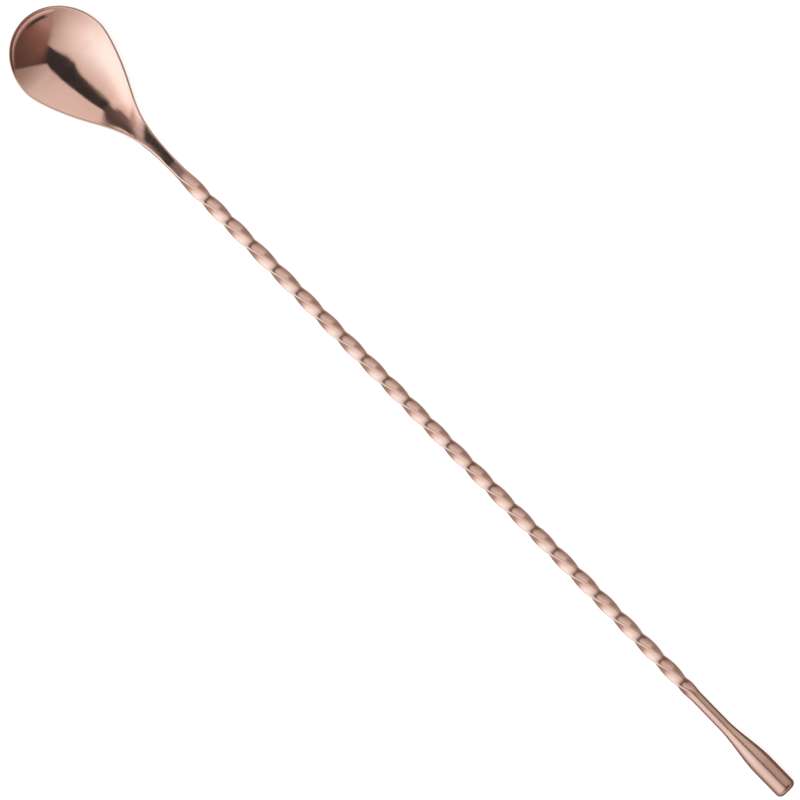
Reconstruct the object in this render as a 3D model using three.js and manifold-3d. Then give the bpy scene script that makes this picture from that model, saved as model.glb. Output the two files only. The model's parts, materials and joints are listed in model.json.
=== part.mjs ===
// Bar spoon: a teardrop bowl and a club-shaped counterweight, brazed onto a twisted square stem.
// It is drawn straight, with the stem's axis along X, and then laid down on its bowl and its club.
// Millimetres. The bowl is at -X and opens towards +Z, and the club is at +X.

import * as THREE from 'three';
import { mergeVertices } from 'three/addons/utils/BufferGeometryUtils.js';
import Module from 'manifold-3d';

// ---- Driving dimensions ----

const LENGTH = 300;                 // tip of the bowl to the end of the club
const TIP_X = -LENGTH / 2;
const END_X = LENGTH / 2;

const BOWL_WIDTH = 28.4;
const TIP_ROUND = 15.2;             // from the tip to the widest place, a half ellipse
const WIDEST_X = TIP_X + TIP_ROUND;
const BOWL_DEPTH = 3.9;             // inside, below the rim
const BOWL_FLOOR = 0.8;             // thickness at the deepest place
const BOWL_FULLNESS = 1.4;          // over 1 makes the floor flatter and the walls steeper
const FLOOR_POWER = [2, 2.6];       // of the floor's cross-section, at its widest and at its root
const FLOOR_POWER_X = [-134.5, -116];   // between which it changes
const DEEPEST_X = -132;             // from here the floor climbs to the neck
const HOLLOW_END_X = -102.8;        // and here the hollow has run out
const FLOOR_BEND = 0.14;            // share of the climb in which the floor turns into a ramp
const NECK_BLEND_X = [-109.6, -102.3];  // between these the bowl's section becomes the bar's
const FLANK = [-120.56, 9.66];      // a place on the straight flank of the outline
const FLANK_SLOPE = 0.481;
const FLANK_PULL = [2, 8.8];        // reach of the outline's curves before and after it
const WIDEST_PULL = 4.2;            // the same past the widest place
const NECK_PULL = 15.3;             // and ahead of the neck joint
const RIM_RISE = 0.2;               // height of the rim over the stem's axis at its widest place
const TIP_LIFT = 1;                 // and how much higher it is at the tip
const RIM_CLIMB_X = [-117.5, -102.3];   // between these it climbs to the top of the neck
const RIM_LAND = 0.8;               // width of the land between the hollow and the outline
const RIM_EDGE = 0.45;              // height of its outer edge

const STEM_FLAT = 3.31;             // across the flats of the square bar
const STEM_CORNER = 0.48;           // radius of its worn corners
const STEM_ROLL = -2;               // degrees that the neck and the start of the bar are rolled
const NECK_POWER = 7;               // of the superellipse for the neck's section
const NECK_CROWN = 0.03;            // its top is filed to a slight crown, in mm per mm of width squared
const NECK_PLAIN_X = [-97, -93];    // between which the crown runs out
const NECK_JOINT_X = -93;
const TWIST_START_X = -91.2;
const TWIST_EASE = 7;               // length over which the twist starts
const QUARTER_TURN = 8.505;         // length of a quarter turn
const TWIST_END_X = 108.2;
const TWIST_DRIFT = [1.65, 0.8];    // a cold twist is uneven: how far it wanders along the stem
const TWIST_SLACK = [-67, 14, 1.1]; // and one place, with its width, where it runs ahead
const ROUND_FROM_X = 114;           // the bar is turned round from here on
const ROUND_RADIUS = 1.72;

const END_JOINT_X = 121.5;
const CLUB_RADIUS = 3.12;
const CLUB_SHOULDER_X = [124.2, 140];   // the club swells between these
const CLUB_EDGE = 1.55;                 // rounding of its end

// The spoon is slightly bowed: both ends lean to -Y of the stem's line.
const BOWL_SET = { from: -97, bend: 6, slope: 0.026 };
const END_SET = { from: 60, bend: 20, slope: 0.0065 };

const SPIGOT_RADIUS = 0.85;
const SPIGOT_LENGTH = 6;
const SOCKET_RADIUS = 1.25;
const FIT_GAP = 0.1;                // brazing clearance, left on both sides of the filler

// ---- Resolution ----

const CORNER_STEPS = 3;             // per corner of the square section
const STEPS_PER_QUARTER = 5;        // stations in a quarter turn of the stem
const TIP_STATIONS = 9;
const SIDE_STATIONS = 8;
const HALF_SECTION = 12;            // steps along the upper or lower half of a bowl section
const ROUND_SEGMENTS = 24;

// ---- Materials ----

function metal(colour, roughness) {
  return new THREE.MeshStandardMaterial({ color: colour, roughness, metalness: 1 });
}

const copperPlate = metal(0xd9a58c, 0.22);
const brazeFiller = metal(0xcfc8b4, 0.45);

// ---- Helpers ----

const wasm = await Module();
wasm.setup();

function toManifold(geometry) {
  const bare = geometry.clone();
  bare.deleteAttribute('normal');
  bare.deleteAttribute('uv');
  const merged = mergeVertices(bare, 1e-4);
  return new wasm.Manifold(new wasm.Mesh({
    numProp: 3,
    vertProperties: Float32Array.from(merged.attributes.position.array),
    triVerts: Uint32Array.from(merged.index.array),
  }));
}

function fromManifold(solid) {
  const mesh = solid.getMesh();
  const geometry = new THREE.BufferGeometry();
  geometry.setAttribute('position', new THREE.BufferAttribute(mesh.vertProperties, 3));
  geometry.setIndex(new THREE.BufferAttribute(mesh.triVerts, 1));
  geometry.computeVertexNormals();
  return geometry;
}

// A closed skin over rings of equally many points. The rings run along +X, and each goes
// anticlockwise as seen from +X. Both ends are closed by a fan about the ring's middle.
function loft(rings) {
  const count = rings[0].length;
  const positions = rings.flat().flatMap((point) => point.toArray());
  const index = [];
  for (let i = 0; i < rings.length - 1; i += 1) {
    for (let j = 0; j < count; j += 1) {
      const a = i * count + j;
      const b = i * count + ((j + 1) % count);
      index.push(a, b, b + count, a, b + count, a + count);
    }
  }
  const ends = [[0, true], [rings.length - 1, false]];
  for (const [ring, atStart] of ends) {
    const middle = new THREE.Vector3();
    rings[ring].forEach((point) => middle.addScaledVector(point, 1 / count));
    const hub = positions.length / 3;
    positions.push(...middle.toArray());
    for (let j = 0; j < count; j += 1) {
      const a = ring * count + j;
      const b = ring * count + ((j + 1) % count);
      index.push(...(atStart ? [hub, b, a] : [hub, a, b]));
    }
  }
  const geometry = new THREE.BufferGeometry();
  geometry.setAttribute('position', new THREE.Float32BufferAttribute(positions, 3));
  geometry.setIndex(index);
  geometry.computeVertexNormals();
  return geometry;
}

function ease(from, to, x) {
  return THREE.MathUtils.smoothstep(x, from, to);
}

// ---- Square section, shared by the neck and the stem ----

// A square with rounded corners, as [y, z] pairs. With corner = half the width it is a circle.
function roundedSquare(half, corner) {
  const points = [];
  for (let quarter = 0; quarter < 4; quarter += 1) {
    const middle = (quarter + 0.5) * (Math.PI / 2);
    const offset = (half - corner) * Math.SQRT2;
    for (let step = 0; step <= CORNER_STEPS; step += 1) {
      const angle = (quarter + step / CORNER_STEPS) * (Math.PI / 2);
      points.push([
        offset * Math.cos(middle) + corner * Math.cos(angle),
        offset * Math.sin(middle) + corner * Math.sin(angle),
      ]);
    }
  }
  return points;
}

// ---- Bowl ----

// Plan outline of the bowl and neck on the +Y side: a half ellipse round the tip, then two
// curves that sweep in to the neck. The hollow's outline is the same, set in by the wall.
function bowlOutline(inset) {
  const half = BOWL_WIDTH / 2 - inset;
  const neckHalf = STEM_FLAT / 2 - inset;
  const [flankX, flankWidth] = FLANK;
  const flankHalf = flankWidth - inset * Math.hypot(1, FLANK_SLOPE);
  const tip = new THREE.EllipseCurve(WIDEST_X, 0, TIP_ROUND - inset, half, Math.PI, Math.PI / 2, true);
  const flank = new THREE.CubicBezierCurve(
    new THREE.Vector2(WIDEST_X, half),
    new THREE.Vector2(WIDEST_X + WIDEST_PULL, half),
    new THREE.Vector2(flankX - FLANK_PULL[0], flankHalf + FLANK_PULL[0] * FLANK_SLOPE),
    new THREE.Vector2(flankX, flankHalf),
  );
  const sweep = new THREE.CubicBezierCurve(
    new THREE.Vector2(flankX, flankHalf),
    new THREE.Vector2(flankX + FLANK_PULL[1], flankHalf - FLANK_PULL[1] * FLANK_SLOPE),
    new THREE.Vector2(NECK_JOINT_X - NECK_PULL, neckHalf),
    new THREE.Vector2(NECK_JOINT_X, neckHalf),
  );
  const nearTip = 0.04;             // the first station, as a share of the tip's quarter ellipse
  return [
    tip.getPoint(nearTip),
    ...tip.getPoints(TIP_STATIONS).slice(1, -1),
    ...flank.getPoints(SIDE_STATIONS).slice(0, -1),
    ...sweep.getPoints(SIDE_STATIONS),
  ];
}

function rimHeight(x) {
  const bowlRim = RIM_RISE + TIP_LIFT * Math.max(0, (WIDEST_X - x) / TIP_ROUND) ** 2;
  return THREE.MathUtils.lerp(bowlRim, STEM_FLAT / 2, ease(...RIM_CLIMB_X, x));
}

// 0 in the bowl and 1 where the neck is a plain bar.
function neckShare(x) {
  return ease(...NECK_BLEND_X, x);
}

// How deep the bowl is at station x, at a fraction across of its half width, as a share of
// its greatest depth. It is 0 along the rim and 1 at the deepest place.
function hollowShare(x, across, tipRound) {
  const tipSide = Math.max(0, (WIDEST_X - x) / tipRound);
  const run = THREE.MathUtils.clamp((x - DEEPEST_X) / (HOLLOW_END_X - DEEPEST_X), 0, 1);
  const bent = run < FLOOR_BEND ? run ** 2 / (2 * FLOOR_BEND) : run - FLOOR_BEND / 2;
  const climb = bent / (1 - FLOOR_BEND / 2);
  const along = x < WIDEST_X ? 1 - tipSide ** 2 : 1 - climb ** (1 / BOWL_FULLNESS);
  const power = THREE.MathUtils.lerp(...FLOOR_POWER, ease(...FLOOR_POWER_X, x));
  return 1 - (1 - along * (1 - Math.abs(across) ** power)) ** BOWL_FULLNESS;
}

// Ring of a solid that is flat on top and bellied below. The belly hangs between a level
// at its sides and one in the middle of the deepest place, both measured down from the rim.
function bellySection(x, half, top, sides, middle, tipRound) {
  const ring = [];
  for (let step = 0; step < 2 * HALF_SECTION; step += 1) {
    const angle = (step / HALF_SECTION) * Math.PI;
    const across = Math.cos(angle);
    const below = Math.sin(angle) < -1e-9;
    const drop = THREE.MathUtils.lerp(sides, middle, hollowShare(x, across, tipRound));
    ring.push(new THREE.Vector3(x, half * across, below ? rimHeight(x) - drop : top));
  }
  return ring;
}

// Ring of the neck: the square bar's outline, read off at the same angles as a bowl section.
function neckSection(x, half) {
  const ring = [];
  const bar = STEM_FLAT / 2;
  const crown = NECK_CROWN * (1 - ease(...NECK_PLAIN_X, x));
  for (let step = 0; step < 2 * HALF_SECTION; step += 1) {
    const angle = (step / HALF_SECTION) * Math.PI;
    const [c, s] = [Math.cos(angle), Math.sin(angle)];
    const reach = (Math.abs(c) ** NECK_POWER + Math.abs(s) ** NECK_POWER) ** (-1 / NECK_POWER);
    const y = half * reach * c;
    const drop = s > 0 ? crown * y ** 2 : 0;
    ring.push(new THREE.Vector3(x, y, bar * reach * s - drop));
  }
  return ring;
}

function rolled(ring, share) {
  const axis = new THREE.Vector3(1, 0, 0);
  const angle = THREE.MathUtils.degToRad(STEM_ROLL) * share;
  return ring.map((point) => point.applyAxisAngle(axis, angle));
}

function bowlBlank() {
  const rings = bowlOutline(0).map(({ x, y: half }) => {
    const belly = bellySection(x, half, rimHeight(x), RIM_EDGE, BOWL_DEPTH + BOWL_FLOOR, TIP_ROUND);
    const neck = neckSection(x, half);
    const share = neckShare(x);
    return rolled(belly.map((point, i) => point.lerp(neck[i], share)), share);
  });
  return toManifold(loft(rings));
}

function bowlHollow() {
  const clearOfRim = 6;
  const rings = bowlOutline(RIM_LAND).filter(({ x }) => x < HOLLOW_END_X).map(({ x, y: half }) => {
    const belly = bellySection(x, half, clearOfRim, 0, BOWL_DEPTH, TIP_ROUND - RIM_LAND);
    const share = neckShare(x);
    const floor = belly.filter(({ z }) => z < clearOfRim);
    floor.forEach((point) => point.setZ(THREE.MathUtils.lerp(point.z, STEM_FLAT / 2, share)));
    return rolled(belly, share);
  });
  return toManifold(loft(rings));
}

// A cylinder along X, from one station to another.
function drill(radius, fromX, toX) {
  const geometry = new THREE.CylinderGeometry(radius, radius, toX - fromX, ROUND_SEGMENTS);
  geometry.rotateZ(-Math.PI / 2);
  geometry.translate((fromX + toX) / 2, 0, 0);
  return toManifold(geometry);
}

function spoonBowl() {
  const socket = drill(SOCKET_RADIUS, NECK_JOINT_X - SPIGOT_LENGTH - FIT_GAP, NECK_JOINT_X + 1);
  return fromManifold(bowlBlank().subtract(bowlHollow()).subtract(socket));
}

// ---- Twisted stem ----

// How far the bar has turned at station x, in radians. The twist is left-handed.
function twistAngle(x) {
  const inTwist = THREE.MathUtils.clamp(x, TWIST_START_X, ROUND_FROM_X) - TWIST_START_X;
  const eased = inTwist < TWIST_EASE ? inTwist ** 2 / (2 * TWIST_EASE) : inTwist - TWIST_EASE / 2;
  const share = THREE.MathUtils.clamp(inTwist / (TWIST_END_X - TWIST_START_X), 0, 1);
  const drift = TWIST_DRIFT[0] * Math.sin(Math.PI * share) + TWIST_DRIFT[1] * Math.sin(2 * Math.PI * share);
  const [slackX, slackWidth, slackMost] = TWIST_SLACK;
  const slack = slackMost * Math.exp(-(((x - slackX) / slackWidth) ** 2));
  return THREE.MathUtils.degToRad(STEM_ROLL) - (Math.PI / 2) * ((eased - drift + slack) / QUARTER_TURN);
}

function stemRing(x, half, corner) {
  const angle = twistAngle(x);
  return roundedSquare(half, corner).map(([y, z]) => new THREE.Vector3(
    x,
    y * Math.cos(angle) - z * Math.sin(angle),
    y * Math.sin(angle) + z * Math.cos(angle),
  ));
}

function twistedStem() {
  const start = NECK_JOINT_X + FIT_GAP;
  const end = END_JOINT_X - FIT_GAP;
  const count = Math.round((end - start) / (QUARTER_TURN / STEPS_PER_QUARTER));
  const rings = [stemRing(start - SPIGOT_LENGTH, SPIGOT_RADIUS, SPIGOT_RADIUS)];
  rings.push(stemRing(start, SPIGOT_RADIUS, SPIGOT_RADIUS));
  for (let i = 0; i <= count; i += 1) {
    const x = THREE.MathUtils.lerp(start, end, i / count);
    const turned = ease(TWIST_END_X, ROUND_FROM_X, x);
    const half = THREE.MathUtils.lerp(STEM_FLAT / 2, ROUND_RADIUS, turned);
    rings.push(stemRing(x, half, THREE.MathUtils.lerp(STEM_CORNER, half, turned)));
  }
  rings.push(stemRing(end, SPIGOT_RADIUS, SPIGOT_RADIUS));
  rings.push(stemRing(end + SPIGOT_LENGTH, SPIGOT_RADIUS, SPIGOT_RADIUS));
  return loft(rings);
}

// ---- Turned and brazed pieces ----

// Spins a closed [x, radius] profile about the X axis.
function spin(profile) {
  const points = profile.map(([x, radius]) => new THREE.Vector2(radius, x));
  const geometry = new THREE.LatheGeometry(points, ROUND_SEGMENTS);
  return geometry.rotateZ(-Math.PI / 2);
}

function teardropEnd() {
  const boreBottom = END_JOINT_X + SPIGOT_LENGTH + FIT_GAP;
  const profile = [[boreBottom, 0], [boreBottom, SOCKET_RADIUS], [END_JOINT_X, SOCKET_RADIUS]];
  profile.push([END_JOINT_X, ROUND_RADIUS]);
  const [swellFrom, swellTo] = CLUB_SHOULDER_X;
  const swellSteps = 9;
  for (let i = 0; i <= swellSteps; i += 1) {
    const x = THREE.MathUtils.lerp(swellFrom, swellTo, i / swellSteps);
    profile.push([x, THREE.MathUtils.lerp(ROUND_RADIUS, CLUB_RADIUS, ease(swellFrom, swellTo, x))]);
  }
  const edgeSteps = 4;
  for (let i = 0; i <= edgeSteps; i += 1) {
    const angle = (i / edgeSteps) * (Math.PI / 2);
    const x = END_X - CLUB_EDGE * (1 - Math.sin(angle));
    profile.push([x, CLUB_RADIUS - CLUB_EDGE * (1 - Math.cos(angle))]);
  }
  profile.push([END_X, 0]);
  return spin(profile);
}

function brazeSleeve(fromX, toX) {
  const inner = SPIGOT_RADIUS + FIT_GAP;
  const outer = SOCKET_RADIUS - FIT_GAP;
  return spin([[fromX, inner], [fromX, outer], [toX, outer], [toX, inner], [fromX, inner]]);
}

// ---- Assembly ----

// How far the bowed spoon lies to -Y of the stem's line at station x.
function lean(x) {
  let total = 0;
  for (const [way, set] of [[-1, BOWL_SET], [1, END_SET]]) {
    const run = Math.max(0, way * (x - set.from));
    total += set.slope * (run < set.bend ? run ** 2 / (2 * set.bend) : run - set.bend / 2);
  }
  return total;
}

function piece(name, geometry, material) {
  const position = geometry.attributes.position;
  for (let i = 0; i < position.count; i += 1) {
    position.setY(i, position.getY(i) - lean(position.getX(i)));
  }
  geometry.computeVertexNormals();
  const mesh = new THREE.Mesh(geometry, material);
  mesh.name = name;
  return mesh;
}

const bowl = piece('spoon_bowl', spoonBowl(), copperPlate);
const stem = piece('twisted_stem', twistedStem(), copperPlate);
const club = piece('teardrop_end', teardropEnd(), copperPlate);
const sleeve = SPIGOT_LENGTH - 2 * FIT_GAP;
const neckBraze = piece('neck_braze', brazeSleeve(NECK_JOINT_X - sleeve, NECK_JOINT_X), brazeFiller);
const endBraze = piece('end_braze', brazeSleeve(END_JOINT_X, END_JOINT_X + sleeve), brazeFiller);

// The spoon is tipped until its bowl and its club stand on the same level.
const spoon = new THREE.Group();
spoon.add(bowl, stem, club, neckBraze, endBraze);

function lowest(mesh) {
  spoon.updateMatrixWorld(true);
  return new THREE.Box3().setFromObject(mesh, true).min.z;
}

const span = LENGTH - TIP_ROUND;
for (let pass = 0; pass < 4; pass += 1) {
  spoon.rotation.y += (lowest(club) - lowest(bowl)) / span;
}
const part = new THREE.Group();
part.add(spoon);
part.updateMatrixWorld(true);
const box = new THREE.Box3().setFromObject(part, true);
spoon.position.set(-(box.min.x + box.max.x) / 2, -(box.min.y + box.max.y) / 2, -box.min.z);

export default part;
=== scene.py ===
"""Bar spoon in polished copper plate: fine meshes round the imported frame, soft studio light, plain floor.

Shapes are drawn in the spoon's own straight frame, in millimetres: X runs along the stem's axis from
the bowl to the counterweight, with 0 at mid-length, and Z points out of the open bowl. LAY then puts
them where the frame's end face says that the spoon lies, in metres.
"""
import json
import math

import bmesh
import bpy
import numpy as np
from mathutils import Matrix, Vector, noise


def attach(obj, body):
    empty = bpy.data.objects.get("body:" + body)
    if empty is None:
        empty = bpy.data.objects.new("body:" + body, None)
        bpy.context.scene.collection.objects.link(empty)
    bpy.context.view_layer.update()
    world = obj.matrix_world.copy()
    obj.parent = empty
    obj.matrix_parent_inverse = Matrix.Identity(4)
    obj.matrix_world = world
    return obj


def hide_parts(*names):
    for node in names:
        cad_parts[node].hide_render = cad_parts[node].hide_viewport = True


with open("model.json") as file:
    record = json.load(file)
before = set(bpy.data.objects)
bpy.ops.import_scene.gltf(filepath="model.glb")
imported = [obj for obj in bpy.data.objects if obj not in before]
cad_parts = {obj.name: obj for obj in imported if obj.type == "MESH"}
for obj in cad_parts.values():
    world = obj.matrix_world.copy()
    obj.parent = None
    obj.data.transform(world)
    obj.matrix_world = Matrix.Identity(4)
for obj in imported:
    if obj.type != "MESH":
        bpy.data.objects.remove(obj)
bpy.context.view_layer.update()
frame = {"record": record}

# ---- Driving dimensions, as in the frame's solids (mm) ----

LENGTH = 300.0
TIP_X = -LENGTH / 2
END_X = LENGTH / 2

BOWL_HALF = 14.2
TIP_ROUND = 15.2            # from the tip to the widest place, a half ellipse
WIDEST_X = TIP_X + TIP_ROUND
BOWL_DEPTH = 3.9            # inside, below the rim
BOWL_FLOOR = 0.8            # thickness at the deepest place
FULLNESS = 1.4              # over 1 makes the floor flatter and the walls steeper
FLOOR_SOFT = 0.015          # keeps the deepest place from being quite flat
DEEPEST_X = -132.0          # from here the floor climbs to the neck
HOLLOW_END_X = -102.8       # where the hollow runs out into the neck
FLOOR_BEND = 0.14           # share of that run in which the level floor turns into a straight ramp
FLOOR_FLAT = (2.0, 2.6)     # power of the floor's cross-section, at its deepest place and towards the neck
FLOOR_FLAT_X = (-134.5, -116.0)    # between which it changes
POLISH_WAVES = (            # height, length and width of the waves, and where in the noise they are taken
    (0.012, 7.0, 4.5, 3.7),
    (0.004, 2.6, 2.2, 9.1),
)
NECK_START_X = -109.6       # from here to NECK_FULL_X the bowl's section becomes the bar's
NECK_FULL_X = -102.3
RIM_RISE = 0.2              # height of the rim over the stem's axis at its widest place
TIP_LIFT = 1.0              # and how much higher it is at the tip
RIM_CLIMB_X = (-117.5, -102.3)     # and where it climbs to the top of the neck
RIM_LAND = (0.75, 0.6)      # width of the land round the rim, at the tip and from the widest place on
RIM_FALL = (-0.12, 0.12)    # how much the land falls towards its outer edge, per mm, at the same places
RIM_EDGE = 0.45             # height of its outer edge
RIM_SOFT = 0.24             # how far its edges are softened
FLANK = (-120.56, 9.66)     # a place on the straight flank of the outline
FLANK_SLOPE = 0.481
FLANK_PULL = (2.0, 8.8)     # reach of the outline's curves before and after it
WIDEST_PULL = 4.2
NECK_PULL = 15.3
BOWL_SET = (-97.0, 6.0, 0.026)     # from where, over what length, and at what slope it leans to -Y

BAR_HALF = 1.655            # the square bar, across the flats
BAR_CORNER = 0.48
BAR_ROLL = -2.0             # degrees that the neck and the start of the bar are rolled towards +Y
NECK_CORNER = 0.5           # the neck is filed rounder than the bar
NECK_CROWN = 0.02           # and its top is filed to a slight crown, in mm per mm of width squared
NECK_SHIFT = 0.22           # and the flat on it lies a little towards +Y
NECK_SKEW = 0.7             # and starts sooner on that side, by this much per mm of width
NECK_PLAIN_X = -97.0        # from here to the joint it becomes as plain as the bar
NECK_JOINT_X = -93.0
TWIST_START_X = -91.2
TWIST_EASE = 7.0
QUARTER_TURN = 8.505
TWIST_END_X = 108.2
TWIST_DRIFT = (1.65, 0.8)   # the cold twist is uneven: how far it wanders along the stem
TWIST_SLACK = (-67.0, 14.0, 1.1)   # and one place, with its width, where it runs ahead
ROUND_FROM_X = 114.0
ROUND_RADIUS = 1.72

END_JOINT_X = 121.5
CLUB_RADIUS = 3.12
CLUB_SHOULDER_X = (124.2, 140.0)
CLUB_EDGE = 1.55

END_SET = (60.0, 20.0, 0.0065)     # the stem bows a little to -Y from here on

SPIGOT_RADIUS = 0.85
SPIGOT_LENGTH = 6.0
SOCKET_RADIUS = 1.25

# ---- Where the spoon lies ----

END_FACE = next(m for m in frame["record"]["mounts"] if m["name"] == "end_face")
AXIS = Vector(END_FACE["axis"]).normalized()
TILT = math.atan2(-AXIS.z, AXIS.x)
MM = 0.001
END_LEAN = END_SET[2] * (END_X - END_SET[0] - END_SET[1] / 2)
LAY = (
    Matrix.Translation(END_FACE["pos_m"])
    @ Matrix.Rotation(TILT, 4, "Y")
    @ Matrix.Scale(MM, 4)
    @ Matrix.Translation((-END_X, END_LEAN, 0))
)

# The picture is square to the softboxes, and the spoon lies across it from corner to corner.
TURN = math.radians(45.375)


# ---- Small helpers ----

def ease(start, stop, x):
    """0 before start, 1 after stop, smooth in between."""
    t = np.clip((np.asarray(x, float) - start) / (stop - start), 0, 1)
    return t * t * (3 - 2 * t)


def mix(a, b, share):
    return a + (b - a) * share


def bezier(p0, p1, p2, p3, count):
    """count points of a cubic curve, the first end left out."""
    t = np.linspace(0, 1, count + 1)[1:, None]
    p0, p1, p2, p3 = (np.array(p, float) for p in (p0, p1, p2, p3))
    return (1 - t) ** 3 * p0 + 3 * (1 - t) ** 2 * t * p1 + 3 * (1 - t) * t ** 2 * p2 + t ** 3 * p3


def rounded(before, corner, after, steps):
    """Points of a small curve that rounds off a corner."""
    s = np.linspace(0, 1, steps + 1)[:, None]
    return (1 - s) ** 2 * before + 2 * s * (1 - s) * corner + s ** 2 * after


def bow(ring):
    """Both ends of the spoon lean a little to -Y of the stem's line, starting smoothly."""
    ring = np.array(ring, float)
    for way, (start, bend, slope) in ((-1, BOWL_SET), (1, END_SET)):
        run = np.clip(way * (ring[:, 0] - start), 0, None)
        ring[:, 1] -= slope * np.where(run < bend, run ** 2 / (2 * bend), run - bend / 2)
    return ring


def skin(name, rings, node, material):
    """A closed smooth mesh through rings of equally many points, laid down as the spoon lies."""
    count = len(rings[0])
    mesh = bmesh.new()
    rows = [[mesh.verts.new(LAY @ Vector(point)) for point in bow(ring)] for ring in rings]
    for a, b in zip(rows, rows[1:]):
        for j in range(count):
            k = (j + 1) % count
            mesh.faces.new((a[j], a[k], b[k], b[j]))
    bmesh.ops.remove_doubles(mesh, verts=mesh.verts, dist=1e-7)
    bmesh.ops.dissolve_degenerate(mesh, edges=mesh.edges, dist=1e-8)
    bmesh.ops.recalc_face_normals(mesh, faces=mesh.faces)
    data = bpy.data.meshes.new(name)
    mesh.to_mesh(data)
    mesh.free()
    data.polygons.foreach_set("use_smooth", [True] * len(data.polygons))
    data.set_sharp_from_angle(angle=math.radians(40))
    piece = bpy.data.objects.new(name, data)
    bpy.context.scene.collection.objects.link(piece)
    data.materials.append(material)
    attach(piece, "root")
    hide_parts(node)
    return piece


# ---- Bowl and neck ----

TIP_STATIONS = 56
FLANK_STATIONS = 36
SWEEP_STATIONS = 84
ACROSS_STEPS = 40
CORNER_STEPS = 4


def outline():
    """Plan points on the +Y side, from the tip to the neck joint, and the outward normals there."""
    angle = np.linspace(0, math.pi / 2, TIP_STATIONS + 1)
    tip = np.stack([WIDEST_X - TIP_ROUND * np.cos(angle), BOWL_HALF * np.sin(angle)], 1)
    flank_x, flank_half = FLANK
    flank = bezier(
        tip[-1],
        (WIDEST_X + WIDEST_PULL, BOWL_HALF),
        (flank_x - FLANK_PULL[0], flank_half + FLANK_PULL[0] * FLANK_SLOPE),
        (flank_x, flank_half),
        FLANK_STATIONS,
    )
    sweep = bezier(
        (flank_x, flank_half),
        (flank_x + FLANK_PULL[1], flank_half - FLANK_PULL[1] * FLANK_SLOPE),
        (NECK_JOINT_X - NECK_PULL, BAR_HALF),
        (NECK_JOINT_X, BAR_HALF),
        SWEEP_STATIONS,
    )
    points = np.concatenate([tip, flank, sweep])
    along = np.gradient(points, axis=0)
    along[0] = (0, 1)
    along[-1] = (1, 0)
    normals = np.stack([-along[:, 1], along[:, 0]], 1)
    return points, normals / np.linalg.norm(normals, axis=1, keepdims=True)


def rim_height(x):
    lift = TIP_LIFT * np.clip((WIDEST_X - x) / TIP_ROUND, 0, None) ** 2
    return mix(RIM_RISE + lift, BAR_HALF, ease(RIM_CLIMB_X[0], RIM_CLIMB_X[1], x))


def openness(x, y, across, inset):
    """0 at the rim and 1 over the deepest place.

    across is the place's distance from the middle as a share of the half width there."""
    tip_long, tip_half = TIP_ROUND - inset, BOWL_HALF - inset
    tip = 1 - (np.clip(WIDEST_X - x, 0, None) / tip_long) ** 2 - (y / tip_half) ** 2
    run = np.clip((x - DEEPEST_X) / (HOLLOW_END_X - DEEPEST_X), 0, 1)
    climb = np.where(run < FLOOR_BEND, run ** 2 / (2 * FLOOR_BEND), run - FLOOR_BEND / 2)
    climb = climb / (1 - FLOOR_BEND / 2)
    power = mix(*FLOOR_FLAT, float(ease(*FLOOR_FLAT_X, x)))
    rear = (1 - climb ** (1 / FULLNESS)) * (1 - across ** power)
    return float(np.where(x < WIDEST_X, tip, rear))


def polish_wave(x, y):
    """The slight unevenness that hand polishing leaves in the bowl, in mm."""
    return sum(
        height * noise.noise(Vector((x / length, y / width, where)))
        for height, length, width, where in POLISH_WAVES
    )


def half_section(point, normal):
    """One station of the bowl on the +Y side: from the middle of the hollow out over the rim and
    back under the bowl to its middle, as (x, y, z) points."""
    x, _ = point
    from_tip = float(ease(TIP_X, WIDEST_X, x))
    land_width = mix(*RIM_LAND, from_tip)
    land_fall = mix(*RIM_FALL, from_tip)
    spread = 0.5 * (TIP_ROUND - RIM_LAND[0])
    inner = point - land_width * normal
    foot_shift = spread * max(0.0, (WIDEST_X - x) / TIP_ROUND)
    inner_foot = np.array([WIDEST_X - foot_shift if x < WIDEST_X else inner[0], 0.0])
    outer_foot = np.array([WIDEST_X - foot_shift if x < WIDEST_X else x, 0.0])

    def surface(edge, foot, share, inset, depth, drop):
        plan = foot + share * (edge - foot)
        inside = openness(*plan, share, inset) - share ** 4 * openness(*edge, 1.0, inset)
        sunk = 1 - mix(1 - min(max(inside, 0.0), 1.0), 1, FLOOR_SOFT) ** FULLNESS
        return np.array([*plan, float(rim_height(plan[0])) - drop - depth * sunk])

    def land(distance, drop):
        plan = point + distance * normal
        fall = land_fall * min(max(0.0, distance + land_width), land_width)
        return np.array([*plan, float(rim_height(plan[0])) - fall - drop])

    reach_in = np.linalg.norm(inner - inner_foot)
    reach_out = np.linalg.norm(point - outer_foot)
    shares = np.sin(np.linspace(0, math.pi / 2, ACROSS_STEPS + 1))
    short_in = 1 - RIM_SOFT / reach_in
    short_out = 1 - RIM_SOFT / reach_out
    under_depth = BOWL_DEPTH + BOWL_FLOOR - RIM_EDGE
    top = [surface(inner, inner_foot, s * short_in, land_width, BOWL_DEPTH, 0) for s in shares]
    under = [surface(point, outer_foot, s * short_out, 0, under_depth, RIM_EDGE) for s in shares]
    inner_corner = rounded(top[-1], land(-land_width, 0), land(-land_width + RIM_SOFT, 0), CORNER_STEPS)
    outer_corner = rounded(land(-RIM_SOFT, 0), land(0, 0), land(0, RIM_SOFT), CORNER_STEPS)
    lower_corner = rounded(land(0, RIM_EDGE - RIM_SOFT), land(0, RIM_EDGE), under[-1], CORNER_STEPS)
    for place in top[:-1]:
        place[2] += polish_wave(place[0], place[1])
    return np.array([*top[:-1], *inner_corner, *outer_corner, *lower_corner, *under[-2::-1]])


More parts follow.
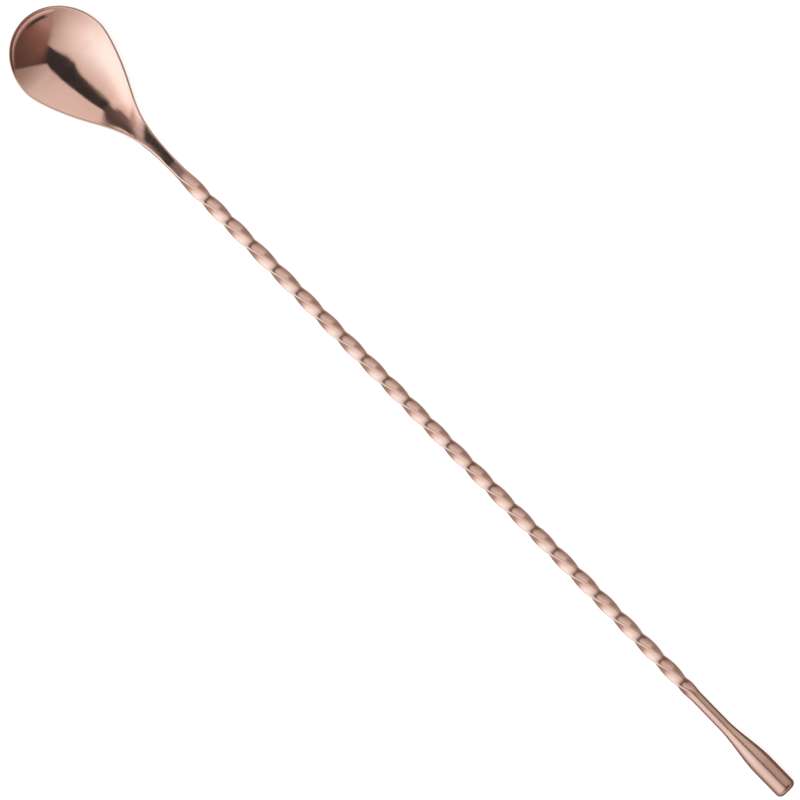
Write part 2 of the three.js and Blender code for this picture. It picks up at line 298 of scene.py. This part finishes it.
def half_neck(x, half, joints):
    """The same station of the neck: a rounded bar, with its points spread as the bowl's are."""
    to_bar = float(ease(NECK_PLAIN_X, NECK_JOINT_X, x))
    corner = mix(NECK_CORNER, BAR_CORNER, to_bar)
    flat, edge = half - corner, BAR_HALF - corner
    shares = np.sin(np.linspace(0, math.pi / 2, ACROSS_STEPS + 1))
    top = [(x, s * flat, BAR_HALF) for s in shares[:-1]]
    turns = np.linspace(math.pi / 2, 0, joints)
    shoulder = [(x, flat + corner * math.cos(a), edge + corner * math.sin(a)) for a in turns]
    crown = mix(NECK_CROWN, 0, to_bar)
    crowned = [(x, y, z - crown * y ** 2) for _, y, z in top + shoulder]
    side = ACROSS_STEPS // 4
    bend = ACROSS_STEPS // 4
    rest = ACROSS_STEPS - side - bend
    under = [(x, half, edge * (1 - 2 * k / side)) for k in range(1, side + 1)]
    for k in range(1, bend + 1):
        a = -math.pi / 2 * k / bend
        under.append((x, flat + corner * math.cos(a), -edge + corner * math.sin(a)))
    under += [(x, flat * (1 - k / rest), -BAR_HALF) for k in range(1, rest + 1)]
    return np.array(crowned + under)


def full_ring(half):
    """A closed ring from a half section and its mirror image, sharing the two middle points."""
    mirrored = half[-2:0:-1] * (1, -1, 1)
    return np.concatenate([half, mirrored])


def circle_like(ring, x, radius):
    """A circle with a point for each point of the ring, at the same angle round the axis."""
    angle = np.unwrap(np.arctan2(ring[:, 1], ring[:, 2]))
    return np.stack([np.full(len(ring), x), radius * np.sin(angle), radius * np.cos(angle)], 1)


def rolled(ring, angle):
    """The ring turned about the stem's axis, in radians."""
    x, y, z = ring.T
    across, up = math.cos(angle), math.sin(angle)
    return np.stack([x, y * across - z * up, y * up + z * across], 1)


def bowl_piece(material):
    points, normals = outline()
    joints = 3 * (CORNER_STEPS + 1)
    rings = []
    for point, normal in zip(points, normals):
        ring = full_ring(half_section(point, normal))
        share = float(ease(NECK_START_X, NECK_FULL_X, point[0]))
        if point[0] > FLANK[0]:
            neck = full_ring(half_neck(point[0], point[1], joints))
            shares = ease(NECK_START_X, NECK_FULL_X, point[0] + NECK_SKEW * ring[:, 1])
            ring = mix(ring, neck, shares[:, None])
        # The neck's flat is moved over without moving its sides.
        shift = NECK_SHIFT * share * (1 - float(ease(NECK_PLAIN_X, NECK_JOINT_X, point[0])))
        ring[:, 1] += shift * (1 - (ring[:, 1] / max(point[1], BAR_HALF)) ** 4)
        rings.append(rolled(ring, share * math.radians(BAR_ROLL)))
    last = rings[-1]
    rings.append(circle_like(last, NECK_JOINT_X, SOCKET_RADIUS))
    rings.append(circle_like(last, NECK_JOINT_X - SPIGOT_LENGTH, SOCKET_RADIUS))
    rings.append(circle_like(last, NECK_JOINT_X - SPIGOT_LENGTH, 0))
    return skin("bowl", rings, "spoon_bowl", material)


# ---- Twisted stem ----

STATION = 0.36              # mm along the stem
SIDE_STEPS = 5              # across each flat of the square
BEND_STEPS = 6              # round each corner


def bar_ring(x, half, corner):
    """The square bar's outline at x, turned by the twist up to there. The twist is left-handed."""
    run = np.clip(x, TWIST_START_X, ROUND_FROM_X) - TWIST_START_X
    eased = run ** 2 / (2 * TWIST_EASE) if run < TWIST_EASE else run - TWIST_EASE / 2
    share = np.clip(run / (TWIST_END_X - TWIST_START_X), 0, 1)
    drift = TWIST_DRIFT[0] * math.sin(math.pi * share) + TWIST_DRIFT[1] * math.sin(2 * math.pi * share)
    slack_x, slack_width, slack = TWIST_SLACK
    drift -= slack * math.exp(-((x - slack_x) / slack_width) ** 2)
    turn = math.radians(BAR_ROLL) - math.pi / 2 * (eased - drift) / QUARTER_TURN
    ring = []
    flat = half - corner
    for quarter in range(4):
        base = quarter * math.pi / 2
        local = [(half, mix(-flat, flat, k / SIDE_STEPS)) for k in range(SIDE_STEPS)]
        for k in range(BEND_STEPS):
            a = math.pi / 2 * k / BEND_STEPS
            local.append((flat + corner * math.cos(a), flat + corner * math.sin(a)))
        for y, z in local:
            a = base + turn
            ring.append((x, y * math.cos(a) - z * math.sin(a), y * math.sin(a) + z * math.cos(a)))
    return np.array(ring)


def stem_piece(material):
    rings = []
    for x in np.arange(NECK_JOINT_X, END_JOINT_X + STATION / 2, STATION):
        turned = float(ease(TWIST_END_X, ROUND_FROM_X, x))
        half = mix(BAR_HALF, ROUND_RADIUS, turned)
        rings.append(bar_ring(min(x, END_JOINT_X), half, mix(BAR_CORNER, half, turned)))
    start, end = rings[0], rings[-1]
    end[:, 0] = END_JOINT_X
    tip = SPIGOT_LENGTH - 0.3
    before = [
        circle_like(start, NECK_JOINT_X - tip, 0),
        circle_like(start, NECK_JOINT_X - tip, SPIGOT_RADIUS),
        circle_like(start, NECK_JOINT_X, SPIGOT_RADIUS),
    ]
    after = [
        circle_like(end, END_JOINT_X, SPIGOT_RADIUS),
        circle_like(end, END_JOINT_X + tip, SPIGOT_RADIUS),
        circle_like(end, END_JOINT_X + tip, 0),
    ]
    return skin("stem", before + rings + after, "twisted_stem", material)


# ---- Turned pieces ----

ROUND_STEPS = 96


def spin(profile):
    """Rings of a turned piece from its (x, radius) profile."""
    angle = np.linspace(0, 2 * math.pi, ROUND_STEPS, endpoint=False)
    y, z = np.cos(angle), np.sin(angle)
    return [np.stack([np.full(ROUND_STEPS, x), r * y, r * z], 1) for x, r in profile]


def club_piece(material):
    bore_end = END_JOINT_X + SPIGOT_LENGTH
    profile = [(bore_end, 0), (bore_end, SOCKET_RADIUS), (END_JOINT_X, SOCKET_RADIUS)]
    profile += [(x, ROUND_RADIUS) for x in np.linspace(END_JOINT_X, CLUB_SHOULDER_X[0], 6)[:-1]]
    for x in np.linspace(*CLUB_SHOULDER_X, 49):
        profile.append((x, mix(ROUND_RADIUS, CLUB_RADIUS, float(ease(*CLUB_SHOULDER_X, x)))))
    profile += [(x, CLUB_RADIUS) for x in np.linspace(CLUB_SHOULDER_X[1], END_X - CLUB_EDGE, 12)[1:-1]]
    for a in np.linspace(0, math.pi / 2, 13):
        back, inward = CLUB_EDGE * (1 - math.sin(a)), CLUB_EDGE * (1 - math.cos(a))
        profile.append((END_X - back, CLUB_RADIUS - inward))
    profile += [(END_X, r) for r in np.linspace(CLUB_RADIUS - CLUB_EDGE, 0, 6)[1:]]
    return skin("counterweight", spin(profile), "teardrop_end", material)


def braze_piece(name, node, start, stop, material):
    """A sleeve of brazing filler that fills its joint, with softly rounded ends."""
    mid, gap = (SPIGOT_RADIUS + SOCKET_RADIUS) / 2, 0.01
    half = (SOCKET_RADIUS - SPIGOT_RADIUS) / 2 - gap
    turns = np.linspace(1.5, -1.5, 7)
    profile = [(mix(start, stop, k / 8), mid + half) for k in range(1, 8)]
    profile += [(stop - half + half * math.cos(a), mid + half * math.sin(a)) for a in turns]
    profile += [(mix(stop, start, k / 8), mid - half) for k in range(1, 8)]
    profile += [(start + half - half * math.cos(a), mid - half * math.sin(a)) for a in turns]
    rings = spin(profile)
    return skin(name, rings + rings[:1], node, material)


# ---- Materials ----

POLISHED_TONES = ((0.955, 0.61, 0.51), (0.925, 0.565, 0.46))
DRAWN_TONES = ((0.97, 0.645, 0.545), (0.94, 0.60, 0.495))
TURNED_TONES = ((0.85, 0.535, 0.445), (0.82, 0.50, 0.405))

# Roughness of each finish.
POLISHED = 0.07
BUFFED = 0.13
DRAWN = 0.23
TURNED = 0.25
ROOT_DULLNESS = 0.34        # what the dull patch adds to the bowl's roughness

# Where the finishes change, in metres along the spoon: none of it at the first place, all at the second.
ROOT_DULL_FROM = (-0.1095, -0.1055)
ROOT_DULL_TO = (-0.1020, -0.1050)
NECK_BUFFED_FROM = (-0.1060, -0.1030)
STEM_BUFFED_TO = (-0.0912, -0.0945)
END_TONES_FROM = (0.095, 0.121)


def tree_of(material):
    material.use_nodes = True
    nodes = material.node_tree.nodes
    return material.node_tree, nodes, nodes["Principled BSDF"]


def add(tree, kind, **values):
    """A node with some of its inputs or settings given by name."""
    node = tree.nodes.new(kind)
    for key, value in values.items():
        if key in node.inputs:
            node.inputs[key].default_value = value
        else:
            setattr(node, key, value)
    return node


def stretched(tree, scale):
    """The object's own coordinates, stretched by a scale per metre along each axis."""
    place = add(tree, "ShaderNodeTexCoord")
    mapping = add(tree, "ShaderNodeMapping")
    mapping.inputs["Scale"].default_value = scale
    tree.links.new(place.outputs["Object"], mapping.inputs["Vector"])
    return mapping.outputs["Vector"]


def noise_at(tree, scale, detail):
    node = add(tree, "ShaderNodeTexNoise", Scale=1.0, Detail=detail, Roughness=0.55)
    tree.links.new(stretched(tree, scale), node.inputs["Vector"])
    return node.outputs["Fac"]


def between(tree, value, low, high):
    """A noise value, which stays near the middle, spread out to run from low to high."""
    node = add(tree, "ShaderNodeMapRange")
    node.inputs["From Min"].default_value = 0.3
    node.inputs["From Max"].default_value = 0.7
    node.inputs["To Min"].default_value = low
    node.inputs["To Max"].default_value = high
    tree.links.new(value, node.inputs["Value"])
    return node.outputs["Result"]


def tinted(tree, tones, share):
    """A colour between two tones."""
    node = add(tree, "ShaderNodeMix", data_type="RGBA")
    node.inputs["A"].default_value = (*tones[0], 1)
    node.inputs["B"].default_value = (*tones[1], 1)
    tree.links.new(share, node.inputs["Factor"])
    return node.outputs["Result"]


def along_spoon(tree, skew=0.0):
    """The place along the spoon, in metres. With a skew, its borders run slantwise across the spoon."""
    place = add(tree, "ShaderNodeTexCoord")
    axes = add(tree, "ShaderNodeSeparateXYZ")
    tree.links.new(place.outputs["Object"], axes.inputs[0])
    return calc(tree, "ADD", axes.outputs["X"], calc(tree, "MULTIPLY", axes.outputs["Y"], skew))


def dull_neck(tree, gloss):
    """The wheel doesn't reach the bowl's root: a dull patch there, and a less bright neck behind it."""
    x = along_spoon(tree, NECK_SKEW)
    streaks = between(tree, noise_at(tree, (350, 1500, 1500), 3), 0.55, 1)
    patch = product(
        tree,
        smooth(tree, x, *ROOT_DULL_FROM),
        smooth(tree, x, *ROOT_DULL_TO),
        streaks,
        ROOT_DULLNESS,
    )
    neck = calc(tree, "MULTIPLY", smooth(tree, x, *NECK_BUFFED_FROM), BUFFED - POLISHED)
    return calc(tree, "ADD", gloss, calc(tree, "ADD", patch, neck))


def buffed_start(tree, gloss):
    """The stem's first straight run is buffed together with the neck."""
    share = smooth(tree, along_spoon(tree), *STEM_BUFFED_TO)
    return calc(tree, "ADD", gloss, calc(tree, "MULTIPLY", share, BUFFED - DRAWN))


def copper_plate(name, tones, roughness, marks, mark_scale, end_tones=None, finish=None):
    """Copper plate: a faint tarnish in the colour, smeared polish in the gloss, and fine marks.

    end_tones are the tones at the counterweight's end, where they differ, and finish changes the gloss."""
    material = bpy.data.materials.new(name)
    tree, nodes, shader = tree_of(material)
    shader.inputs["Metallic"].default_value = 1.0
    tarnish = between(tree, noise_at(tree, (90, 160, 160), 3), 0, 1)
    tint = tinted(tree, tones, tarnish)
    if end_tones:
        blend = add(tree, "ShaderNodeMix", data_type="RGBA")
        tree.links.new(smooth(tree, along_spoon(tree), *END_TONES_FROM), blend.inputs["Factor"])
        tree.links.new(tint, blend.inputs["A"])
        tree.links.new(tinted(tree, end_tones, tarnish), blend.inputs["B"])
        tint = blend.outputs["Result"]
    tree.links.new(tint, shader.inputs["Base Color"])
    gloss = between(tree, noise_at(tree, (220, 420, 420), 4), roughness - 0.03, roughness + 0.035)
    if finish:
        gloss = finish(tree, gloss)
    tree.links.new(gloss, shader.inputs["Roughness"])
    bump = add(tree, "ShaderNodeBump", Strength=marks, Distance=0.00001)
    tree.links.new(noise_at(tree, mark_scale, 3), bump.inputs["Height"])
    tree.links.new(bump.outputs["Normal"], shader.inputs["Normal"])
    return material


def filler_material():
    """Silver brazing alloy: dull and slightly grainy."""
    material = bpy.data.materials.new("braze_filler")
    tree, nodes, shader = tree_of(material)
    shader.inputs["Metallic"].default_value = 1.0
    grain = noise_at(tree, (1500, 1500, 1500), 5)
    tint = tinted(tree, ((0.80, 0.77, 0.68), (0.66, 0.62, 0.52)), between(tree, grain, 0, 1))
    tree.links.new(tint, shader.inputs["Base Color"])
    tree.links.new(between(tree, grain, 0.35, 0.55), shader.inputs["Roughness"])
    bump = add(tree, "ShaderNodeBump", Strength=0.4, Distance=0.00003)
    tree.links.new(grain, bump.inputs["Height"])
    tree.links.new(bump.outputs["Normal"], shader.inputs["Normal"])
    return material


# ---- Studio ----

def calc(tree, operation, *values):
    """A math node on numbers or other nodes' outputs."""
    node = tree.nodes.new("ShaderNodeMath")
    node.operation = operation
    for socket, value in zip(node.inputs, values):
        if isinstance(value, (int, float)):
            socket.default_value = value
        else:
            tree.links.new(value, socket)
    return node.outputs[0]


def product(tree, first, *rest):
    """The product of numbers or other nodes' outputs."""
    for value in rest:
        first = calc(tree, "MULTIPLY", first, value)
    return first


def ramp(tree, value, *stops):
    """Straight runs of level through (place, level) stops; levels stay below 1."""
    low, high = stops[0][0], stops[-1][0]
    spread = add(tree, "ShaderNodeMapRange")
    spread.inputs["From Min"].default_value = low
    spread.inputs["From Max"].default_value = high
    tree.links.new(value, spread.inputs["Value"])
    node = tree.nodes.new("ShaderNodeValToRGB")
    elements = node.color_ramp.elements
    for index, (place, level) in enumerate(stops):
        at = (place - low) / (high - low)
        element = elements[index] if index in (0, 1) and len(elements) > index else elements.new(at)
        element.position = at
        element.color = (level, level, level, 1)
    tree.links.new(spread.outputs["Result"], node.inputs["Fac"])
    return node.outputs["Color"]


def smooth(tree, value, start, stop):
    """0 at start and 1 at stop, smooth in between."""
    node = add(tree, "ShaderNodeMapRange", interpolation_type="SMOOTHSTEP")
    node.inputs["From Min"].default_value = start
    node.inputs["From Max"].default_value = stop
    tree.links.new(value, node.inputs["Value"])
    return node.outputs["Result"]


def line(tree, u, v, through, angle):
    """How far, in degrees, a direction lies to the side of a line that the angle points to."""
    across, up = math.cos(math.radians(angle)), math.sin(math.radians(angle))
    reach = calc(tree, "ADD", calc(tree, "MULTIPLY", u, across), calc(tree, "MULTIPLY", v, up))
    return calc(tree, "SUBTRACT", reach, across * through[0] + up * through[1])


LEFT_STRENGTH = 1.1


def studio():
    """Two large softboxes, left and top of the picture, with a dark gap between them that runs from
    overhead to the top left corner, and a dim warm room on the right below them."""
    world = bpy.data.worlds.new("studio")
    bpy.context.scene.world = world
    world.use_nodes = True
    tree = world.node_tree
    tree.nodes.clear()
    place = add(tree, "ShaderNodeTexCoord")
    axes = add(tree, "ShaderNodeSeparateXYZ")
    tree.links.new(place.outputs["Generated"], axes.inputs[0])
    x, y, z = axes.outputs
    # Degrees away from straight up: u to the right of the picture and v to its top.
    level = calc(tree, "SQRT", calc(tree, "SUBTRACT", 1.0001, calc(tree, "MULTIPLY", z, z)))
    away = calc(tree, "DIVIDE", calc(tree, "DEGREES", calc(tree, "ARCCOSINE", z)), level)
    cos_turn, sin_turn = math.cos(TURN), math.sin(TURN)
    right = calc(tree, "ADD", calc(tree, "MULTIPLY", x, cos_turn), calc(tree, "MULTIPLY", y, sin_turn))
    ahead = calc(tree, "SUBTRACT", calc(tree, "MULTIPLY", y, cos_turn), calc(tree, "MULTIPLY", x, sin_turn))
    u = calc(tree, "MULTIPLY", right, away)
    v = calc(tree, "MULTIPLY", ahead, away)
    polar = calc(tree, "MULTIPLY", level, away)
    # The same, along the spoon to its counterweight and across it.
    along = line(tree, u, v, (0, 0), -45)
    beside = line(tree, u, v, (0, 0), 45)

    # The left softbox ends at the gap, whose edge has a slight bend, and short of the far corner. Each ramp
    # gives its brightness at places in degrees: to the right, up, along the spoon, and in from the gap.
    gap_left = calc(tree, "MAXIMUM", line(tree, u, v, (-1.7, -1.7), 218), line(tree, u, v, (-1, -1), 232))
    far_corner = calc(tree, "MULTIPLY", line(tree, u, v, (-19.8, 19.8), -101), 0.5)
    gap_left = calc(tree, "MINIMUM", gap_left, far_corner)
    slant = calc(tree, "SUBTRACT", along, calc(tree, "MULTIPLY", beside, 0.3))
    left = product(
        tree,
        LEFT_STRENGTH,
        ramp(
            tree, u,
            (-60, 1), (-40, 0.97), (-19, 0.83), (-7, 0.72), (0, 0.62), (6, 0.53), (9, 0.47),
            (11, 0.40), (13, 0.24), (14.5, 0.13), (16.5, 0),
        ),
        ramp(
            tree, v,
            (-90, 0.55), (-58, 0.76), (-40, 0.88), (-28, 0.94), (-10, 1), (0, 0.95), (6, 0.89), (30, 0.8),
        ),
        ramp(
            tree, slant,
            (-62, 0.15), (-42, 0.22), (-38, 0.32), (-34, 0.5), (-31, 0.64), (-28, 0.76), (-24, 0.92),
            (-10, 0.97), (0, 1),
        ),
        ramp(tree, gap_left, (-0.7, 0), (0.6, 0.8), (2, 0.92), (8, 0.95), (22, 1)),
    )
    # The top softbox ends at the gap, at the room and, slantwise, short of the far corner.
    top = product(
        tree,
        ramp(
            tree, along,
            (-30, 0.66), (-15, 0.655), (-4, 0.6), (1, 0.51), (6, 0.45), (11, 0.37), (16, 0.30), (22, 0.24),
            (30, 0.2),
        ),
        smooth(tree, line(tree, u, v, (9.5, 7.5), 35), -1.5, 2.5),
        smooth(tree, line(tree, u, v, (0, 1), 103.5), -0.8, 2.0),
        smooth(tree, calc(tree, "ADD", along, calc(tree, "MULTIPLY", beside, 0.48)), -18.5, -13.5),
    )
    # The dim warm room beyond the left softbox, and the haze of light that spills into it.
    in_room = product(
        tree,
        smooth(tree, u, 8, 18),
        ramp(tree, along, (4, 0), (8, 0.3), (12, 0.5), (17, 0.75), (23, 1), (55, 1), (64, 0.85), (75, 0.7)),
    )
    room = product(
        tree,
        in_room,
        ramp(
            tree, beside,
            (-30, 0.15), (-16, 0.17), (-8, 0.18), (8, 0.167), (16, 0.125), (24, 0.1), (40, 0.072),
            (60, 0.06),
        ),
    )
    haze = product(
        tree,
        in_room,
        ramp(tree, beside, (-30, 0.2), (-16, 0.16), (-8, 0.07), (0, 0.02), (4, 0)),
    )
    # The gap between the softboxes is less dark towards their far corner.
    corner = product(
        tree,
        ramp(
            tree, along,
            (-60, 1), (-35.3, 0.96), (-33.3, 0.86), (-31.3, 0.72), (-28.3, 0.6), (-24.3, 0.48),
            (-21, 0.34), (-19.3, 0.14), (-18.4, 0.02), (-17.5, 0),
        ),
        ramp(
            tree, beside,
            (-20, 0.2), (0, 0.18), (5, 0.14), (11, 0.10), (20, 0.07), (30, 0.055), (60, 0.055),
        ),
    )
    # A dark doorway, low on the far side, and the lit wall above it.
    door = product(
        tree,
        ramp(tree, polar, (64, 0), (67, 1), (70.5, 1), (73, 0)),
        ramp(tree, beside, (-31, 0), (-25, 1), (-4, 0.9), (10, 0)),
        smooth(tree, along, 20, 30),
    )
    far_wall = product(
        tree,
        smooth(tree, along, 30, 50),
        ramp(tree, polar, (71.5, 0), (76, 0.42), (90, 0.5)),
    )
    light = calc(tree, "MAXIMUM", calc(tree, "ADD", left, top), far_wall)
    strong = calc(tree, "POWER", light, 4.0)
    open_share = calc(tree, "SUBTRACT", 1.0, door)

    def channel(dark, *shares):
        """A colour channel: its dark level, and its shares of light, strong, room, haze and corner."""
        total = dark
        for source, share in zip((light, strong, room, haze, corner), shares):
            total = calc(tree, "ADD", total, product(tree, share, source, open_share))
        return total

    colour = add(tree, "ShaderNodeCombineXYZ")
    tree.links.new(channel(0.037, 1.0, 0.0, 1.0, 1.0, 1.0), colour.inputs[0])
    tree.links.new(channel(0.040, 0.955, 0.26, 0.5, 1.0, 0.8), colour.inputs[1])
    tree.links.new(channel(0.043, 0.90, 0.40, 0.38, 0.95, 0.78), colour.inputs[2])
    lit = add(tree, "ShaderNodeBackground")
    tree.links.new(colour.outputs[0], lit.inputs["Color"])
    plain = add(tree, "ShaderNodeBackground", Color=(1, 1, 1, 1), Strength=1.0)
    path = add(tree, "ShaderNodeLightPath")
    choose = add(tree, "ShaderNodeMixShader")
    tree.links.new(path.outputs["Is Camera Ray"], choose.inputs[0])
    tree.links.new(lit.outputs[0], choose.inputs[1])
    tree.links.new(plain.outputs[0], choose.inputs[2])
    out = add(tree, "ShaderNodeOutputWorld")
    tree.links.new(choose.outputs[0], out.inputs["Surface"])


def floor():
    """A plain white floor. The spoon itself mirrors it darker, as a floor just outside the light."""
    size = 12.0
    mesh = bpy.data.meshes.new("floor")
    corners = [(-size, -size, 0), (size, -size, 0), (size, size, 0), (-size, size, 0)]
    mesh.from_pydata(corners, [], [(0, 1, 2, 3)])
    plane = bpy.data.objects.new("floor", mesh)
    bpy.context.scene.collection.objects.link(plane)
    material = bpy.data.materials.new("floor")
    mesh.materials.append(material)
    tree, nodes, shader = tree_of(material)
    nodes.remove(shader)
    place = add(tree, "ShaderNodeTexCoord")
    spots = add(tree, "ShaderNodeSeparateXYZ")
    tree.links.new(place.outputs["Object"], spots.inputs[0])
    x, y, _ = spots.outputs
    beyond = calc(tree, "SUBTRACT", x, WIDEST_X * MM)
    from_bowl = calc(tree, "SQRT", calc(tree, "ADD", product(tree, beyond, beyond), product(tree, y, y)))
    lit_tip = product(
        tree,
        ramp(tree, from_bowl, (0.0135, 0), (0.0152, 0.28), (0.021, 0.36), (0.055, 0.42)),
        smooth(tree, x, -0.128, -0.139),
    )
    lit_side = ramp(
        tree, y,
        (-0.060, 0.50), (-0.025, 0.42), (-0.010, 0.12), (0, 0), (0.02, 0), (0.1, 0.1),
    )
    lit_end = ramp(tree, x, (0.153, 0), (0.19, 0.15))
    by_stem = product(tree, smooth(tree, x, -0.1, -0.09), smooth(tree, x, 0.118, 0.105), 0.14)
    brightest = calc(tree, "MAXIMUM", lit_side, calc(tree, "MAXIMUM", lit_tip, lit_end))
    lit = calc(tree, "ADD", by_stem, brightest)
    mirrored = add(tree, "ShaderNodeEmission", Strength=1.0)
    shade = add(tree, "ShaderNodeCombineXYZ")
    tree.links.new(calc(tree, "ADD", 0.17, lit), shade.inputs[0])
    tree.links.new(calc(tree, "ADD", 0.125, lit), shade.inputs[1])
    tree.links.new(calc(tree, "ADD", 0.10, lit), shade.inputs[2])
    tree.links.new(shade.outputs[0], mirrored.inputs["Color"])
    pale = add(tree, "ShaderNodeBsdfDiffuse", Color=(0.95, 0.95, 0.95, 1))
    glow = add(tree, "ShaderNodeEmission", Color=(1, 1, 1, 1), Strength=0.75)
    both = add(tree, "ShaderNodeAddShader")
    path = add(tree, "ShaderNodeLightPath")
    choose = add(tree, "ShaderNodeMixShader")
    tree.links.new(pale.outputs[0], both.inputs[0])
    tree.links.new(glow.outputs[0], both.inputs[1])
    tree.links.new(path.outputs["Is Camera Ray"], choose.inputs[0])
    tree.links.new(mirrored.outputs[0], choose.inputs[1])
    tree.links.new(both.outputs[0], choose.inputs[2])
    tree.links.new(choose.outputs[0], nodes["Material Output"].inputs["Surface"])


def camera():
    """Straight above the spoon, which lies corner to corner, a little past the frame's edges."""
    height, width_seen = 3.0, 0.2209
    data = bpy.data.cameras.new("camera")
    data.sensor_width = 36.0
    data.lens = data.sensor_width * height / width_seen
    data.clip_end = 20.0
    eye = bpy.data.objects.new("camera", data)
    aim = LAY @ Vector((-2.22, -0.94, 0))
    eye.location = (aim.x, aim.y, height + 0.004)
    eye.rotation_euler = (0, 0, TURN)
    bpy.context.scene.collection.objects.link(eye)
    bpy.context.scene.camera = eye


# ---- The scene ----

camera()
polished = copper_plate(
    "copper_polished", POLISHED_TONES, POLISHED, marks=0.25, mark_scale=(2500, 900, 900), finish=dull_neck)
drawn = copper_plate(
    "copper_drawn", DRAWN_TONES, DRAWN, marks=0.35, mark_scale=(6000, 700, 700), end_tones=TURNED_TONES,
    finish=buffed_start)
turned_metal = copper_plate("copper_turned", TURNED_TONES, TURNED, marks=0.6, mark_scale=(9000, 250, 250))
filler = filler_material()
bowl_piece(polished)
stem_piece(drawn)
club_piece(turned_metal)
sleeve = SPIGOT_LENGTH - 0.5
braze_piece("neck_filler", "neck_braze", NECK_JOINT_X - sleeve, NECK_JOINT_X - 0.05, filler)
braze_piece("end_filler", "end_braze", END_JOINT_X + 0.05, END_JOINT_X + sleeve, filler)
studio()
floor()
bpy.context.scene.view_settings.view_transform = "Standard"
